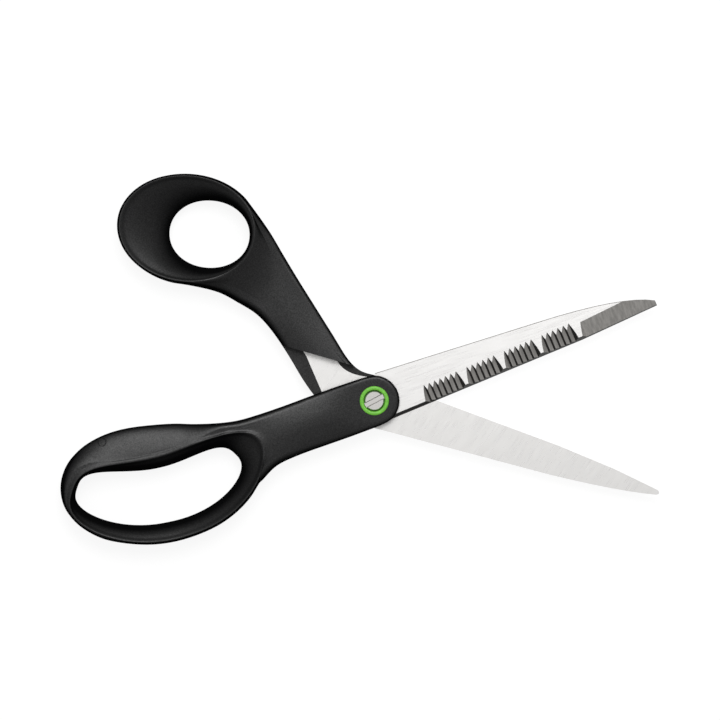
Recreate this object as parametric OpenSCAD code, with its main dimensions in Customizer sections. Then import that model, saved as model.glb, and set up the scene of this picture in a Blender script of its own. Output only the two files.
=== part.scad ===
// Pinking shears: two crossing halves on one screw pivot, drawn open as they lie on a table.
// Frame, in millimetres: pivot axis through the origin, rest plane at z = 0, screw head up (+Z),
// front blade along +X, thumb loop towards +Y. Each half is drawn closed, with its tip on +X.

/* [Opening] */
// angle between the two blades as drawn
rest_open = 36.9; // [20:0.1:45]

/* [Blades] */
// pivot to blade tip
blade_l = 110; // [104:1:118]
// thickness of each steel plate
blade_t = 2.5; // [2.3:0.1:2.8]
// gap between the two inner faces
blade_gap = 0.1; // [0.06:0.02:0.16]
// height of the front blade's spine over the pivot line, at the pivot
front_spine = 9.6; // [9.2:0.1:9.8]
// depth of the front blade's cutting edge under the pivot line, at the pivot
front_edge = 8.7; // [8.2:0.1:9.2]
// height of the rear blade's cutting edge over the pivot line, at the pivot
rear_edge = 8.05; // [7.65:0.1:8.45]
// depth of the rear blade's spine under the pivot line, at the pivot
rear_spine = 9.7; // [9.3:0.1:9.9]
// radius of each plate round the pivot
plate_r = 8.6; // [8:0.1:9]
// lean of the cutting bevel from upright
edge_lean = 27; // [20:1:32]
// width of each tang
tang_w = 9; // [8:0.5:10]
// how far each tang runs into its handle past the step
tang_in = 26; // [20:1:30]
// radius of the hole that locks each tang in its handle
tang_lock_r = 1.8; // [1.4:0.1:2.2]
// width of the broken corner along the front blade's spine
spine_break = 0.25; // [0.15:0.05:0.35]

/* [Ground teeth] */
// distance between neighbouring grooves
tooth_pitch = 2.145; // [2.1:0.005:2.24]
// pivot to the first groove
tooth_first = 19.1; // [17:0.1:21]
// depth of the line through the grooves' points under the pivot line, at the pivot
tooth_line = 1.7; // [1.5:0.1:1.9]
// turn of that line from the blade line
tooth_lean = 4.15; // [3.9:0.05:4.3]
// radius of the wheel that grinds the grooves
wheel_r = 23.5; // [23:0.5:26]
// distance of the wheel axis past the grooves' points
wheel_reach = 9; // [8.6:0.1:9.2]
// run of a groove's left flank for each millimetre of depth
flank_left = 1.88; // [1.7:0.02:2]
// run of a groove's right flank for each millimetre of depth
flank_right = 0.97; // [0.9:0.01:1.05]
// run of the left flank that starts each group
group_left = 1.07; // [1:0.01:1.1]
// run of the right flank that ends each group
group_right = 0.9; // [0.85:0.01:0.95]
// pivot to the plain ground land at the tip
land_first = 81.1; // [80.5:0.1:82.5]
// depth of the land's upper line under the pivot line, at the pivot
land_line = 7.4; // [7.2:0.1:7.6]
// turn of that line from the blade line
land_lean = 7.2; // [6.8:0.1:7.6]
// fall of the land towards the cutting edge
land_fall = 16; // [14:0.5:17]

/* [Pivot] */
// radius of the sleeve nut's bearing
sleeve_r = 3; // [2.7:0.1:3.2]
// running clearance round the bearing
run_clear = 0.05; // [0.03:0.01:0.08]
// clearance of parts that are pushed or moulded together
still_clear = 0.02; // [0.01:0.01:0.04]
// radius of the nut's head
nut_r = 5.3; // [5:0.1:5.6]
// radius of the screw's threaded shank
shank_r = 2; // [1.7:0.1:2.2]
// radius of the screw's head
head_r = 3.55; // [3.3:0.05:3.7]
// thickness of the screw's head
head_t = 1.5; // [1.3:0.1:1.8]
// width of the coin slot
slot_w = 2; // [1.6:0.1:2.2]
// depth of the coin slot
slot_d = 0.45; // [0.3:0.05:0.6]
// run of the coin slot's walls for each millimetre of depth
slot_run = 0.6; // [0.4:0.05:0.8]
// direction of the coin slot
slot_a = 9; // [0:1:90]
// radius over the slot's staked ends
stake_r = 3.8; // [3.74:0.02:3.82]
// outer radius of the coloured collar
collar_r = 5.35; // [5.1:0.05:5.6]
// inner radius of the coloured collar
collar_in_r = 3.95; // [3.85:0.05:4.1]
// thickness of the collar's floor under the spring washer
collar_floor = 0.9; // [0.7:0.1:1.1]
// how far the collar stands out of the handle
collar_proud = 0.5; // [0.3:0.1:0.8]
// height of the collar's crowned top
collar_crown = 0.4; // [0.2:0.05:0.5]
// height of the spring washer
spring_h = 0.8; // [0.6:0.05:1]
// sheet thickness of the spring washer
spring_t = 0.4; // [0.3:0.05:0.5]

/* [Handle bosses and arms] */
// half thickness of the loops, and height of the inner faces over the table
loop_h = 7; // [6.6:0.1:7.6]
// plastic over each blade at the pivot
boss_wall = 2.65; // [2.3:0.05:3]
// radius of the plastic round the pivot
boss_r = 9.3; // [9.1:0.1:9.6]
// width of the finger handle's arm
arm_w = 19; // [18.6:0.1:19.4]
// width of the thumb handle's arm
thumb_arm_w = 18.2; // [17.6:0.1:18.6]
// direction of the thumb handle's arm, closed, from the blade line
thumb_arm_a = 139.6; // [138:0.1:141]
// gap between the arms and the steps they close against
step_gap = 0.6; // [0.4:0.1:1]
// how far the plastic stays back from the inner faces
face_relief = 0.3; // [0.2:0.05:0.5]
// fall of an arm's crowned face from its middle to its edges
arm_crown = 0.9; // [0.6:0.1:1.1]

/* [Finger loop] */
// pivot to the near end of the finger hole
finger_reach = 54.9; // [53:0.1:56.5]
// length of the finger hole
finger_hole_l = 59.2; // [57:0.1:62]
// width of the finger hole
finger_hole_w = 20.2; // [19:0.1:21.5]
// sideways place of the hole's middle under the pivot line
finger_drop = 7.8; // [7.4:0.1:8.2]
// flare of the hole at the arm
finger_flare_arm = 9.4; // [8:0.1:10]
// flare of the hole at the heel
finger_flare_heel = 2; // [1.6:0.1:2.4]
// flare of the hole under the knuckle pad
finger_flare_up = 4.1; // [3.6:0.1:4.6]
// flare of the hole at the strap
finger_flare_down = 5.8; // [5.2:0.1:6.4]
// rim to outline at the heel
finger_wall_heel = 3.5; // [3:0.1:4]
// rim to outline on the knuckle pad
finger_wall_up = 12.2; // [11.6:0.1:12.6]
// rim to outline at the strap
finger_wall_down = 1.8; // [1.6:0.1:2.4]
// height of the rim's lip over the face beside it
finger_lip = 0.35; // [0.2:0.05:0.5]
// width of that lip
finger_lip_w = 1.6; // [1.2:0.1:2]

/* [Thumb loop] */
// pivot to the thumb hole's middle, along the closed blade line
thumb_x = 76.7; // [75.5:0.1:78]
// thumb hole's middle beside the closed blade line
thumb_y = 39.6; // [39:0.1:40.2]
// length of the thumb hole
thumb_hole_l = 28.7; // [27.6:0.1:29.6]
// width of the thumb hole
thumb_hole_w = 24.7; // [24:0.1:25.6]
// flare of the hole at the arm
thumb_flare_arm = 1.8; // [1.5:0.1:2.2]
// flare of the hole at the far side
thumb_flare_far = 18.4; // [17:0.1:19.2]
// flare of the hole away from the finger loop
thumb_flare_up = 8.3; // [7.8:0.1:8.8]
// flare of the hole towards the finger loop
thumb_flare_down = 5.5; // [5:0.1:5.7]
// rim to outline at the far side
thumb_wall_far = 1.2; // [0.9:0.1:1.5]
// rim to outline away from the finger loop
thumb_wall_up = 0.9; // [0.7:0.1:1.2]
// rim to outline towards the finger loop
thumb_wall_down = 0.9; // [0.7:0.1:1.1]
// height of the rim's lip over the arm
thumb_lip = 1.8; // [1.4:0.1:2]
// width of that lip
thumb_lip_w = 6.5; // [5:0.5:8]
// tilt of the hole's narrowest line, near side up
thumb_tilt = 2; // [0:0.5:3]

/* [Hidden] */
$fn = 96;

// heights over the table
mid_z = loop_h;
front_z = mid_z + blade_gap / 2;
front_top = front_z + blade_t;
rear_top = mid_z - blade_gap / 2;
rear_z = rear_top - blade_t;
boss_h = blade_gap / 2 + blade_t + boss_wall;
boss_top = mid_z + boss_h;
collar_top = boss_top + collar_proud;
seat_z = front_top + collar_floor;
spring_z = seat_z + still_clear;
head_z = spring_z + spring_h;

// small helpers
function sp(v, e) = sign(v) * pow(abs(v), e);
function mix(a, b, t) = a + (b - a) * t;
function bez(a, b, c, n) = [for (i = [0:n]) let (t = i / n)
    a * (1 - t) * (1 - t) + b * 2 * t * (1 - t) + c * t * t];

// a loop outline is [middle x, middle y, half length, half width, slope, bow, squareness, more at the far end]
function sag(o, x) = o[1] + o[4] * (x - o[0]) + o[5] * pow(x - o[0], 2);
function at(o, t) = let (e = 2 / (o[6] - o[7] * cos(t)), x = o[0] + o[2] * sp(cos(t), e),
    k = o[4] + 2 * o[5] * (x - o[0]))
    [x, sag(o, x)] + o[3] * sp(sin(t), e) * [-k, 1] / norm([k, 1]);

// grow an outline by its own amount on each of the four sides, and turn it
function grow(o, near, far, up, down, turn, bow_keep, square, far_square) = let (x = o[0] + (near - far) / 2)
    [x, sag(o, x) + (up - down) / 2, o[2] + (near + far) / 2, o[3] + (up + down) / 2,
     o[4] + 2 * o[5] * (x - o[0]) + turn, o[5] * bow_keep, square, far_square];

// finger loop: hole, rim and outline
finger_hole = [-finger_reach - finger_hole_l / 2, -finger_drop,
               finger_hole_l / 2, finger_hole_w / 2, -0.118, 0.0106, 2.9, 0.1];
finger_rim = grow(finger_hole, finger_flare_arm, finger_flare_heel,
                  finger_flare_up, finger_flare_down, 0, 0.92, 2.42, 0.34);
finger_pad = grow(finger_rim, -6.4, finger_wall_heel,
                  finger_wall_up, finger_wall_down, -0.11, 0.25, 2.37, -0.24);

// thumb loop: hole, rim and outline
thumb_hole = [-thumb_x, thumb_y, thumb_hole_l / 2, thumb_hole_w / 2, 0.24, 0, 2.06, 0];
thumb_rim = grow(thumb_hole, thumb_flare_arm, thumb_flare_far,
                 thumb_flare_up, thumb_flare_down, -0.03, 1, 2.02, 0);

// a point beside the thumb arm's axis, from its distance along and its place across
thumb_dir = [cos(thumb_arm_a), sin(thumb_arm_a)];
thumb_side = [sin(thumb_arm_a), -cos(thumb_arm_a)];
function on_thumb(along, across) = thumb_dir * along + thumb_side * across;

// stations round a handle: [x, y, rim direction, inner x, inner y, edge rounding across, and down]
function round_boss(a, aim, in) = [boss_r * cos(a), boss_r * sin(a), aim, in.x, in.y, 1.1, 1.1];
function on_pad(pad, rim, t, round) = let (p = at(pad, t), q = at(rim, t), d = at(pad, t + 1) - at(pad, t - 1),
    wall = (p - q) * [d.y, -d.x] / norm(d), in = mix(q, p, 0.6 * (1 - round)))
    [p.x, p.y, t, in.x, in.y, round * wall, loop_h - 0.6];
half_arm = arm_w / 2;
function finger_edge(d, y, aim, in) = [-d, y, aim, in.x, in.y,
    lookup(d, [[0, 1.1], [34, 2.2], [53, 2]]), lookup(d, [[0, 1.1], [34, 2.6], [53, 4]])];
function finger_side(d, y, aim) = finger_edge(d, y, aim, mix(at(finger_rim, aim), [-d, y], 0.25));
function on_strap(rim, t, wall, down) = let (p = at(rim, t), d = at(rim, t + 1) - at(rim, t - 1),
    side = [d.y, -d.x] / norm(d), q = p + wall * side, in = p + 0.15 * wall * side)
    [q.x, q.y, t, in.x, in.y, 0.75 * wall, down];
finger_stations = concat(
    [for (a = [-72:24:72]) round_boss(a, -6 + a / 12, [0, a / 80])],
    [finger_edge(8, half_arm - 0.1, 5, [-6, 1.5]),
     finger_edge(20, half_arm - 0.2, 12, [-20, 3.2]),
     finger_edge(32, half_arm - 0.5, 22, [-33, 5]),
     finger_side(42, half_arm - 0.5, 34),
     finger_side(50, half_arm - 0.1, 46),
     finger_side(57, half_arm + 1.3, 56)],
    [for (t = [66, 78, 91, 104, 117, 131, 145, 162, 180, 198, 215, 229, 242])
        on_pad(finger_pad, finger_rim, t, mix(0.85, 0.5, ease((t - 120) / 50)))],
    [for (t = [256, 268, 280, 292, 304, 315]) on_strap(finger_rim, t, finger_wall_down, loop_h - 0.6)],
    [finger_side(48.5, -half_arm - 4.9, -35),
     finger_side(42, -half_arm - 1.6, -26),
     finger_edge(33, -half_arm - 0.5, -19, [-33, -4.6]),
     finger_edge(20, -half_arm - 0.3, -16, [-20, -3.4]),
     finger_edge(8, -half_arm - 0.1, -13.5, [-6, -1.8])]);
function thumb_edge(s, t, aim, in_s, in_t) = let (p = on_thumb(s, t), q = on_thumb(in_s, in_t))
    [p.x, p.y, aim, q.x, q.y, lookup(s, [[0, 1.1], [34, 2.2], [60, 2.4]]),
     lookup(s, [[0, 1.1], [34, 2.6], [60, 4.5]])];
function thumb_wall(t) = lookup(t, [[30, 1.4], [110, thumb_wall_up], [172, thumb_wall_far],
    [230, thumb_wall_down], [275, 1.45]]);
thumb_stations = concat(
    [for (a = [-84:24:84]) round_boss(a, -27 + a / 24, thumb_side * a / 93)],
    [thumb_edge(11.5, 1.8, -22, 12, -0.9),
     thumb_edge(17, -0.1, -20, 18, -1.9),
     thumb_edge(28, -0.3, -16, 30, -3.5),
     thumb_edge(40, -0.4, -10, 42, -4.4),
     thumb_edge(52, -0.5, -3, 54, -4.6),
     thumb_edge(63, -0.4, 6, 66, -3.7),
     thumb_edge(73, -0.2, 18, 75, -2.9)],
    [for (t = [30, 43, 56, 69, 82, 95, 108, 122, 137, 153, 170, 187, 204, 220, 235, 249, 262, 275])
        on_strap(thumb_rim, t, thumb_wall(t), loop_h - 0.6)],
    [thumb_edge(64, -thumb_arm_w - 9.7, -66, 68, -27.2),
     thumb_edge(57, -thumb_arm_w - 5.6, -54, 61, -21),
     thumb_edge(50, -thumb_arm_w - 2.1, -46, 53, -16.8),
     thumb_edge(42, -thumb_arm_w - 0.5, -40, 43, -13.4),
     thumb_edge(31, -thumb_arm_w, -36, 31, -10),
     thumb_edge(19, -thumb_arm_w - 0.1, -33.5, 18, -6.4),
     thumb_edge(11, -thumb_arm_w + 0.9, -32, 9, -3.8),
     thumb_edge(4, -thumb_arm_w + 5.2, -31, 3, -1.9)]);

// a smooth closed curve through the stations
function knot(a, b) = sqrt(norm([a.x - b.x, a.y - b.y]));
function curve(p0, p1, p2, p3, u) = let (
    t1 = knot(p0, p1),
    t2 = t1 + knot(p1, p2),
    t3 = t2 + knot(p2, p3),
    t = mix(t1, t2, u),
    a1 = mix(p0, p1, t / t1),
    a2 = mix(p1, p2, (t - t1) / (t2 - t1)),
    a3 = mix(p2, p3, (t - t2) / (t3 - t2)),
    b1 = mix(a1, a2, t / t2),
    b2 = mix(a2, a3, (t - t1) / (t3 - t1)))
    mix(b1, b2, (t - t1) / (t2 - t1));
function dense(s, m) = let (n = len(s)) [for (i = [0:n - 1]) for (k = [0:m - 1])
    let (a = s[(i + n - 1) % n], b = s[i], c = s[(i + 1) % n], d = s[(i + 2) % n])
    curve(turned(a, b), b, turned(c, b), turned(d, b), k / m)];
// the rim direction counts on past a full turn between neighbours
function turned(v, near) = let (e = v[2] - near[2], q = e > 180 ? -360 : e < -180 ? 360 : 0)
    [v[0], v[1], v[2] + q, v[3], v[4], v[5], v[6]];

// heights over the middle plane, by distance from the pivot: the rims, the faces and the crown of the arms
rise = [16, 60];
crown_in = [4, 12];
crown_out = [30, 55];
function ease(t) = let (c = min(1, max(0, t))) c * c * (3 - 2 * c);
function ramp(p, span) = ease((norm(p) - span[0]) / (span[1] - span[0]));
function ridge_h(p) = mix(boss_h, loop_h, ramp(p, rise));
function face_h(p, lip) = mix(boss_h, loop_h - lip, ramp(p, rise));
function crown(p) = arm_crown * ramp(p, crown_in) * (1 - ramp(p, crown_out));

// the flared hole: narrowest in the middle plane, widest at the rim on both faces
rim_angle = 30;
function flare_in(t) = (sin(t) - sin(rim_angle)) / (1 - sin(rim_angle));
function flare_z(t) = cos(t) / cos(rim_angle);

// a handle: loops of points from the hole's narrowest line over one face to the outline, and back
module handle(stations, hole, rim, lip, lip_w, tilt, m) {
    s = dense(stations, m);
    n = len(s);
    out = [for (v = s) [v[0], v[1]]];
    normal = [for (i = [0:n - 1]) let (d = out[(i + 1) % n] - out[(i + n - 1) % n]) [d.y, -d.x] / norm(d)];
    rims = [for (v = s) at(rim, v[2])];
    holes = [for (v = s) at(hole, v[2])];
    inner = [for (v = s) [v[3], v[4]]];
    edge = [for (i = [0:n - 1]) out[i] - normal[i] * s[i][5]];
    function top(i, p, f) = mix(ridge_h(p), face_h(p, lip), ease(norm(p - rims[i]) / lip_w)) - crown(p) * f * f;
    function lip_row(f, sgn) = [for (i = [0:n - 1]) let (reach = norm(inner[i] - rims[i]),
        p = mix(rims[i], inner[i], min(f * lip_w, 0.9 * f * reach) / reach))
        [p.x, p.y, mid_z + sgn * top(i, p, 0)]];
    function face_row(f, sgn) = [for (i = [0:n - 1]) let (p = mix(inner[i], edge[i], f))
        [p.x, p.y, mid_z + sgn * top(i, p, f)]];
    function edge_row(t, sgn) = [for (i = [0:n - 1]) let (
        p = out[i] - normal[i] * s[i][5] * (1 - sin(t)), h = top(i, edge[i], 1))
        [p.x, p.y, mid_z + sgn * (h - min(s[i][6], h - 0.3) * (1 - cos(t)))]];
    function flare_row(t, sgn) = [for (i = [0:n - 1]) let (q = flare_in(t), p = mix(rims[i], holes[i], q))
        [p.x, p.y, mid_z + sgn * ridge_h(rims[i]) * flare_z(t) + q * tilt * cos(s[i][2])]];
    half = [for (t = [76, 62, 46, rim_angle]) [0, t], for (f = [0.4, 1]) [1, f],
            for (f = [0, 0.35, 0.7]) [2, f], for (t = [0, 25, 50, 75]) [3, t]];
    function row(r, sgn) = r[0] == 0 ? flare_row(r[1], sgn) : r[0] == 1 ? lip_row(r[1], sgn)
        : r[0] == 2 ? face_row(r[1], sgn) : edge_row(r[1], sgn);
    k = len(half);
    rows = concat([flare_row(90, 0)], [for (r = half) row(r, 1)], [[for (p = out) [p.x, p.y, mid_z]]],
        [for (i = [k - 1:-1:0]) row(half[i], -1)]);
    c = len(rows);
    polyhedron([for (r = rows) each r],
        [for (r = [0:c - 1]) for (i = [0:n - 1]) let (a = r * n + i, b = r * n + (i + 1) % n,
            d = ((r + 1) % c) * n + i, e = ((r + 1) % c) * n + (i + 1) % n)
            each [[a, b, e], [a, e, d]]], convexity = 8);
}

// plates, each in its closed place: the blade, the pivot round and the tang
front_slope = 0.064;
front_cut = [[3.2, -front_edge + front_slope * 3.2], [blade_l - 30, -front_edge + front_slope * (blade_l - 30)],
             [blade_l, -0.5]];
front_back = concat(bez([blade_l - 0.2, 1.5], [blade_l - 11, 7.2],
                        [blade_l - 44, front_spine - 0.0254 * (blade_l - 44)], 8), [[3.5, front_spine - 0.1]]);
// what the grinding of the edges takes off the stamped outline
grind = [0, 0.05];
rear_slope = 0.041;
rear_cut = [[6, rear_edge - rear_slope * 6], [blade_l - 40, rear_edge - rear_slope * (blade_l - 40)],
            [blade_l - 18, 3.4], [blade_l - 0.6, 1]];

function arc(c, r, from, to, n) = [for (i = [0:n]) let (a = mix(from, to, i / n)) c + r * [cos(a), sin(a)]];

module front_plate() {
    tang_end = [-finger_reach + 11, -0.8];
    half = tang_w / 2;
    difference() {
        polygon(concat(arc([0, 0], plate_r, -118, -72, 4), [for (p = front_cut) p - grind],
            front_back, arc([0, 0], plate_r, 70, 118, 4),
            [[-14, half + 0.6]], arc(tang_end, half, 90, 270, 12), [[-14, -half - 0.6]]));
        circle(sleeve_r + run_clear);
        translate(tang_end) circle(tang_lock_r);
    }
}

module rear_plate() {
    left = [-28.9, 7.9];
    tang_end = left + thumb_dir * tang_in + thumb_side * tang_w / 2;
    difference() {
        polygon(concat(arc([0, 0], plate_r, 112, 72, 4), [for (p = rear_cut) p + grind],
            [[blade_l + 0.1, 0.6], [blade_l + 0.4, 0.1], [blade_l + 0.2, -0.5]],
            bez([blade_l - 0.6, -0.9], [blade_l - 14, -4], [blade_l - 40, -5.95], 6),
            [[2, -rear_spine + 0.05], [-9, -rear_spine + 0.2], [-13.6, -rear_spine + 1.3], [-19.3, -3], left],
            arc(tang_end, tang_w / 2, thumb_arm_a + 90, thumb_arm_a - 90, 12),
            bez([-17.2, 9.4], [-13.5, 6.2], [-6.7, 7.3], 6)));
        circle(sleeve_r + still_clear);
        translate(tang_end) circle(tang_lock_r);
    }
}

// a wedge that leans the cutting edge from a to b; up tells which face is ground away
module edge_wedge(a, b, side, z, up) {
    run = norm(b - a);
    wide = (blade_t + 0.4) * tan(edge_lean);
    translate([a.x, a.y, z])
        rotate(atan2(b.y - a.y, b.x - a.x))
            rotate([90, 0, 90])
                translate([0, 0, -0.5])
                    linear_extrude(run + 1)
                        polygon([[-side * 0.4 * tan(edge_lean), -up * 0.4], [side * wide, up * (blade_t + 0.4)],
                                 [-side * 2, up * (blade_t + 0.4)], [-side * 2, -up * 0.4]]);
}

// a small prism along the outer face that breaks the corner from a to b
module corner_break(a, b, z, w) {
    past = 0.2;
    translate([a.x, a.y, z])
        rotate(atan2(b.y - a.y, b.x - a.x))
            rotate([90, 0, 90])
                translate([0, 0, -past / 2])
                    linear_extrude(norm(b - a) + past)
                        polygon([[w + past, past], [-past, -w - past], [-past, past]]);
}

// the grinding wheel: one V for each groove, in four groups
wheel_up = sqrt(wheel_r * wheel_r - wheel_reach * wheel_reach);
vee = wheel_r - wheel_up + 0.1;
meet = tooth_pitch / (flank_left + flank_right);
function group(skip, count) = let (first = tooth_first + skip * tooth_pitch) [
    [wheel_r - vee, first - group_left * vee],
    for (i = [0:count - 1]) let (low = first + i * tooth_pitch) each [[wheel_r, low],
        i < count - 1 ? [wheel_r - meet, low + flank_right * meet] : [wheel_r - vee, low + group_right * vee]]];
module grinding_wheel() {
    start = tooth_first - 3 * tooth_pitch;
    end = tooth_first + 29 * tooth_pitch;
    rotate_extrude()
        polygon(concat([[0, start], [wheel_r - vee, start]],
            group(0, 7), group(8, 6), group(15, 6), group(22, 6),
            [[wheel_r - vee, end], [0, end]]));
}

// what is ground off the tip: a plane that falls from its upper line to the cutting edge
module land_cut() {
    high = 10;
    translate([land_first, land_first * tan(land_lean) - land_line, front_top])
        rotate(land_lean)
            rotate([land_fall + 90, 0, 0])
                translate([0, 0, -high])
                    linear_extrude(4 * high)
                        polygon([[0, 0], [blade_l - land_first + high, 0], [blade_l - land_first + high, high],
                                 [-group_left * high, high]]);
}

module front_blade() {
    color("#dddbd8")
        difference() {
            translate([0, 0, front_z]) linear_extrude(blade_t) front_plate();
            for (i = [0:len(front_cut) - 2]) edge_wedge(front_cut[i], front_cut[i + 1], 1, front_z, 1);
            for (i = [0:len(front_back) - 2])
                corner_break(front_back[i], front_back[i + 1], front_top, spine_break);
            translate([0, -tooth_line, front_top + wheel_up])
                rotate(tooth_lean)
                    translate([0, -wheel_reach, 0])
                        rotate([0, 90, 0])
                            grinding_wheel();
            land_cut();
        }
}

module rear_blade() {
    color("#d6d4d1")
        rotate(-rest_open)
            difference() {
                translate([0, 0, rear_z]) linear_extrude(blade_t) rear_plate();
                for (i = [0:len(rear_cut) - 2]) edge_wedge(rear_cut[i], rear_cut[i + 1], -1, rear_top, -1);
            }
}

module finger_handle() {
    color("#2d2d2f")
        difference() {
            handle(finger_stations, finger_hole, finger_rim, finger_lip, finger_lip_w, 0, 2);
            // the back half stops at the step that the thumb arm closes against
            rotate(thumb_arm_a)
                translate([-60, -60, -1])
                    cube([160, 60 + thumb_arm_w + step_gap, mid_z + face_relief + 1]);
            translate([0, 0, front_z])
                linear_extrude(blade_t) front_plate();
            translate([0, 0, -1]) cylinder(r = collar_r + still_clear, h = 30);
        }
}

module thumb_handle() {
    color("#29292b")
        rotate(-rest_open)
            difference() {
                handle(thumb_stations, thumb_hole, thumb_rim, thumb_lip, thumb_lip_w, thumb_tilt, 2);
                // the front half stops at the step that the finger arm closes against
                rotate(2)
                    translate([-70, -80, mid_z - face_relief])
                        cube([120, 80 + arm_w / 2 + step_gap + 0.2, 40]);
                translate([0, 0, rear_z])
                    linear_extrude(blade_t) rear_plate();
                translate([0, 0, -1]) cylinder(r = nut_r + still_clear, h = 30);
            }
}

module pivot_nut() {
    color("#c9c7c4")
        difference() {
            union() {
                cylinder(r1 = nut_r - 0.4, r2 = nut_r, h = 0.4);
                translate([0, 0, 0.4]) cylinder(r = nut_r, h = rear_z - 0.4);
                cylinder(r = sleeve_r, h = seat_z - 0.1);
            }
            translate([0, 0, 2]) cylinder(r = shank_r + still_clear, h = 20);
        }
}

// the coin slot across its length, from the head's top
module slot_profile() {
    past = 0.5;
    low = slot_w / 2 - slot_run * slot_d;
    high = slot_w / 2 + slot_run * past;
    polygon([[-low, -slot_d], [low, -slot_d], [high, past], [-high, past]]);
}

module pivot_screw() {
    color("#cfccc9") {
        difference() {
            union() {
                translate([0, 0, 3]) cylinder(r = shank_r, h = head_z - 3 + 0.1);
                translate([0, 0, head_z]) cylinder(r = head_r, h = head_t - 0.3);
                translate([0, 0, head_z + head_t - 0.3]) cylinder(r1 = head_r, r2 = head_r - 0.3, h = 0.3);
            }
            rotate(slot_a)
                translate([-head_r - 1, 0, head_z + head_t])
                    rotate([90, 0, 90])
                        linear_extrude(2 * head_r + 2) slot_profile();
        }
        // the slot's floor is staked out past the head at both ends
        translate([0, 0, head_z])
            intersection() {
                cylinder(r = stake_r, h = head_t);
                rotate(slot_a)
                    translate([-stake_r - 1, -slot_w / 2, 0])
                        cube([2 * stake_r + 2, slot_w, head_t - slot_d]);
            }
    }
}

module spring_washer() {
    color("#b9b7b4")
        rotate_extrude()
            polygon([[head_r + 0.1, spring_z], [head_r + 0.1, spring_z + spring_t],
                     [sleeve_r + 0.06, spring_z + spring_h],
                     [sleeve_r + 0.06, spring_z + spring_h - spring_t]]);
}

module pivot_collar() {
    half = (collar_r - collar_in_r) / 2;
    color("#79c84e")
        rotate_extrude()
            polygon(concat([[sleeve_r + run_clear, front_top], [collar_r, front_top]],
                [for (a = [0:20:180]) [collar_in_r + half + half * cos(a),
                                       collar_top - collar_crown + collar_crown * sin(a)]],
                [[collar_in_r, seat_z], [sleeve_r + run_clear, seat_z]]));
}

front_blade();
rear_blade();
finger_handle();
thumb_handle();
pivot_nut();
pivot_screw();
spring_washer();
pivot_collar();
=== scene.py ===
"""Pinking shears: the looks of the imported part, laid out as an add-on and run as a script."""
import math

import bpy
from mathutils import Matrix, Vector


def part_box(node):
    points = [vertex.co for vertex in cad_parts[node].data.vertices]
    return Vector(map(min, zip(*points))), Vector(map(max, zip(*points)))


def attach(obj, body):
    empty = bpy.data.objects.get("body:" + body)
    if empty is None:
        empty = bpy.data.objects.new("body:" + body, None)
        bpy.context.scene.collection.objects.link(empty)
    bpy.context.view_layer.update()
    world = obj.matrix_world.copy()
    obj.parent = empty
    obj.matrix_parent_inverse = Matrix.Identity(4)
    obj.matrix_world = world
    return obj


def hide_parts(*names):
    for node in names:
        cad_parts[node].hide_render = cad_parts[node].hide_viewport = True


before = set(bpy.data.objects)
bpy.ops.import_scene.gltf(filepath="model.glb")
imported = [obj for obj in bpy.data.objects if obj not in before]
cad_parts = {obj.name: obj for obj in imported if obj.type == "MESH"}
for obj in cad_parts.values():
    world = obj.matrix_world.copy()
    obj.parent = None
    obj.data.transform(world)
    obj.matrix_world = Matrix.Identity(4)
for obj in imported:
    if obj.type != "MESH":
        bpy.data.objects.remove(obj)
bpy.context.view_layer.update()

bl_info = {
    "name": "Pinking shears",
    "version": (1, 0, 0),
    "blender": (4, 5, 0),
    "location": "View3D > Sidebar > Shears",
    "description": "Builds the handles, finishes and stage of a pair of pinking shears",
    "category": "Object",
}

MM = 0.001
FINGER_BODY = "finger_half"
THUMB_BODY = "thumb_half"
# a height in metres over every piece
ABOVE_ALL = 0.05
# sharpest turn in degrees that the handles' shading smooths over
SMOOTH_ANGLE = 32
# fineness of the grain, its depth, and roughness of the gloss
HANDLE_FINISH = (2600.0, 0.5, 0.33)
COLLAR_FINISH = (1800.0, 0.2, 0.4)
BLADE_ROUGHNESS = 0.3
# turn of the grinding lines and how strongly they show
FRONT_LINES = (0.0, 0.15)
REAR_LINES = (math.radians(-36), 0.6)


# properties


def length(name, description, default):
    return bpy.props.FloatProperty(name=name, description=description, default=default * MM,
                                   min=0.0, precision=5, unit="LENGTH")


def degrees(name, description, default):
    return bpy.props.FloatProperty(name=name, description=description, default=math.radians(default),
                                   unit="ROTATION")


def lengths(name, description, values):
    return bpy.props.FloatVectorProperty(name=name, description=description, size=len(values),
                                         default=[v * MM for v in values], precision=5, unit="LENGTH")


def amount(name, description, default):
    return bpy.props.FloatProperty(name=name, description=description, default=default, min=0.0)


def colour(name, description, values):
    return bpy.props.FloatVectorProperty(name=name, description=description, size=3, default=values,
                                         min=0.0, max=1.0, subtype="COLOR")


class HandleSizes(bpy.types.PropertyGroup):
    """Sizes that both handles share."""
    half_height: length("Half height", "Height of the loops over the middle plane", 6.96)
    boss_height: length("Boss height", "Height of the plastic at the pivot over the middle plane", 5.2)
    boss_radius: length("Boss radius", "Radius of the plastic round the pivot", 9.3)
    finger_arm: length("Finger arm", "Width of the finger handle's arm", 19)
    thumb_arm: length("Thumb arm", "Width of the thumb handle's arm", 18.2)
    thumb_turn: degrees("Thumb arm direction", "Direction of the closed thumb arm", 139.6)
    opening: degrees("Opening", "Angle between the two blades as drawn", 36.9)
    bead: lengths("Bead", "Height and width of the bead round the holes' rims", (0.3, 2.0))
    arm_crown: length("Arm crown", "Fall of an arm's face from its middle to its edges", 0.75)
    step_gap: length("Step gap", "Gap between an arm and the step it closes against", 0.6)
    relief: length("Relief", "How far the plastic stays back from the middle plane", 0.3)
    collar_bore: length("Collar bore", "Radius of the bore for the coloured collar", 5.37)
    nut_bore: length("Nut bore", "Radius of the bore for the sleeve nut", 5.32)


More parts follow.
